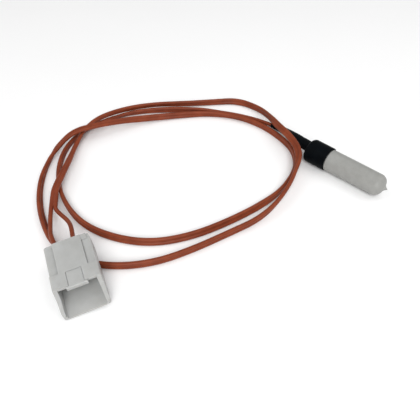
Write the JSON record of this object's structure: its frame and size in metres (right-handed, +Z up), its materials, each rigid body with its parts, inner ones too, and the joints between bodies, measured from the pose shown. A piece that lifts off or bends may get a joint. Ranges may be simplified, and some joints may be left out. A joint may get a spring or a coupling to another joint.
{
  "type": "closed capsule sensor probe with lead and plug",
  "caption": "White closed-end sensor capsule with a black heat-shrink boot on a loosely coiled flat twin lead, ending in a white two-way hooded plug with a latch tongue.",
  "frame": {"origin": "centre of the bottom of the box round the probe (capsule and boot), on the surface it lies on", "axes": "+X along the capsule towards its nib, +Z up from the surface"},
  "size_m": [0.1095, 0.1154, 0.0099],
  "materials": {
    "capsule_white": "satin moulded, off-white",
    "heat_shrink": "semi-matt shrunk tubing",
    "hot_melt": "clear brown adhesive",
    "epoxy": "cast resin",
    "chip": "sintered, matt",
    "bead_glass": "clear",
    "lead_insulation": "satin extruded, orange-brown",
    "tinned_copper": "tinned strands",
    "lead_sleeving": "woven glass sleeving",
    "splice_metal": "tinned",
    "terminal_brass": "tinned",
    "housing_white": "satin moulded, white"
  },
  "bodies": {
    "harness": {"capsule": "capsule_white", "boot": "heat_shrink", "adhesive_liner": "hot_melt", "potting": "epoxy", "thermistor_chip": "chip", "bead_coating": "bead_glass", "bead_lead_a": "tinned_copper", "bead_lead_b": "tinned_copper", "bead_sleeve_a": "lead_sleeving", "bead_sleeve_b": "lead_sleeving", "splice_crimp_a": "splice_metal", "splice_crimp_b": "splice_metal", "probe_core_a": "tinned_copper", "probe_core_b": "tinned_copper", "probe_wire_a": "lead_insulation", "probe_wire_b": "lead_insulation", "tail_sleeve": "heat_shrink", "twin_lead": "lead_insulation", "wire_a": "lead_insulation", "wire_b": "lead_insulation", "plug_housing": "housing_white", "terminal_a": "terminal_brass", "terminal_b": "terminal_brass", "plug_core_a": "tinned_copper", "plug_core_b": "tinned_copper"},
    "latch": {"latch_tongue": "housing_white"}
  },
  "joints": [
    {"name": "latch_flex", "type": "hinge", "parent": "harness", "child": "latch", "pos_m": [-0.02864, -0.09348, 0.00825], "axis": [-0.3901, -0.9173, -0.08], "range_deg": [-4, 12], "stiffness_Nm_per_rad": 0.02}
  ]
}
